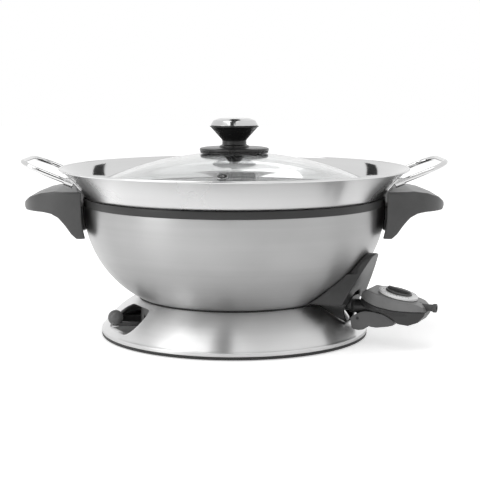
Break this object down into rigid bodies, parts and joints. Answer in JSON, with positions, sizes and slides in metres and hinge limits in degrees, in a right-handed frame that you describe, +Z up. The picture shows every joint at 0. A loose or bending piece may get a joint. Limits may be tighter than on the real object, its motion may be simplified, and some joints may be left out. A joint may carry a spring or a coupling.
{
  "type": "electric wok",
  "caption": "Round electric wok on a flared steel base with a plug-in control probe, side handles, a flared steamer insert with wire loops and a domed glass lid.",
  "frame": {"origin": "centre of the underside, on the surface the base stands on", "axes": "+Z up, -Y towards the user, +X along the line through both side handles"},
  "size_m": [0.504, 0.419, 0.2592],
  "materials": {
    "base_steel": "satin",
    "base_black": "matte moulded",
    "pad_rubber": "matte",
    "seat_black": "matte",
    "recess_grey": "smooth",
    "fastener_steel": "plain",
    "lever_black": "satin",
    "ball_grey": "glossy",
    "stem_white": "smooth",
    "latch_steel": "zinc plated",
    "pan_steel": "satin",
    "cast_black": "non-stick coated casting",
    "band_dark": "satin",
    "element_dark": "oxidised sheath",
    "pin_nickel": "nickel plated",
    "ceramic_white": "ceramic",
    "shroud_dark": "satin moulded",
    "handle_dark": "satin phenolic",
    "steamer_steel": "polished",
    "loop_steel": "polished rod",
    "lid_glass": "clear tempered",
    "rim_steel": "polished",
    "knob_black": "satin phenolic",
    "seal_dark": "matte",
    "cap_steel": "polished",
    "probe_grey": "satin",
    "probe_dark": "satin",
    "rod_steel": "plain",
    "contact_brass": "plain",
    "thermostat_tan": "matte",
    "scale_white": "satin",
    "dial_dark": "satin",
    "lens_amber": "translucent",
    "trigger_grey": "satin",
    "gland_grey": "matte"
  },
  "bodies": {
    "base": {"base_skirt": "base_steel", "foot_ring": "base_black", "rubber_feet": "pad_rubber", "base_frame": "base_black", "seat_ring": "seat_black", "lever_recess": "recess_grey", "frame_screws": "fastener_steel", "lever_pin": "fastener_steel"},
    "lever": {"release_lever": "lever_black", "ball_knob": "ball_grey", "knob_stem": "stem_white"},
    "latch": {"latch_bolt": "latch_steel"},
    "pan": {"pan_shell": "pan_steel", "cast_bowl": "cast_black", "trim_band": "band_dark", "heating_element": "element_dark", "base_plate": "latch_steel", "lock_stud": "latch_steel", "plate_screws": "fastener_steel", "terminal_pins": "pin_nickel", "pin_insulators": "ceramic_white", "socket_shroud": "shroud_dark", "shroud_studs": "fastener_steel", "left_handle": "handle_dark", "right_handle": "handle_dark", "handle_screws": "fastener_steel"},
    "steamer": {"steamer_bowl": "steamer_steel", "left_loop": "loop_steel", "right_loop": "loop_steel", "loop_brackets": "steamer_steel"},
    "lid": {"lid_glass": "lid_glass", "lid_rim": "rim_steel", "vent_grommet": "rim_steel", "heat_guard": "knob_black", "knob_seal": "seal_dark", "knob_body": "knob_black", "knob_cap": "cap_steel", "knob_washer": "knob_black", "knob_screw": "fastener_steel"},
    "probe": {"probe_top_shell": "probe_grey", "probe_bottom_shell": "probe_dark", "probe_nose": "probe_dark", "sensing_rod": "rod_steel", "contact_tubes": "contact_brass", "thermostat": "thermostat_tan", "indicator_lens": "lens_amber", "trigger_pin": "fastener_steel", "trigger_spring": "rod_steel", "probe_screws": "fastener_steel", "cord_gland": "gland_grey"},
    "dial": {"dial_spindle": "rod_steel", "dial_scale": "scale_white", "dial_knob": "dial_dark"},
    "trigger": {"release_trigger": "trigger_grey"}
  },
  "joints": [
    {"name": "pan_lift", "type": "slide", "parent": "base", "child": "pan", "axis": [0, 0, 1], "range_m": [0, 0.12]},
    {"name": "steamer_lift", "type": "slide", "parent": "pan", "child": "steamer", "axis": [0, 0, 1], "range_m": [0, 0.15]},
    {"name": "lid_lift", "type": "slide", "parent": "steamer", "child": "lid", "axis": [0, 0, 1], "range_m": [0, 0.12]},
    {"name": "lever_turn", "type": "hinge", "parent": "base", "child": "lever", "pos_m": [-0.06847, -0.06958, 0.0235], "axis": [0, 0, 1], "range_deg": [-20, 0]},
    {"name": "latch_slide", "type": "slide", "parent": "base", "child": "latch", "axis": [0.8192, 0.5736, 0], "range_m": [0, 0.0063]},
    {"name": "probe_plug", "type": "slide", "parent": "pan", "child": "probe", "axis": [0.9063, -0.4226, 0], "range_m": [0, 0.08]},
    {"name": "dial_turn", "type": "hinge", "parent": "probe", "child": "dial", "pos_m": [0.18806, -0.08769, 0.06013], "axis": [0.2039, -0.0951, 0.9744], "range_deg": [-280, 0]},
    {"name": "trigger_squeeze", "type": "hinge", "parent": "probe", "child": "trigger", "pos_m": [0.14727, -0.06867, 0.0315], "axis": [-0.4226, -0.9063, 0], "range_deg": [0, 4], "stiffness_Nm_per_rad": 0.6, "springref_deg": -8.59, "deforming": ["trigger_spring"]}
  ],
  "couplings": [
    {"joint": "latch_slide", "follows": "lever_turn", "m_per_rad": -0.017909}
  ]
}
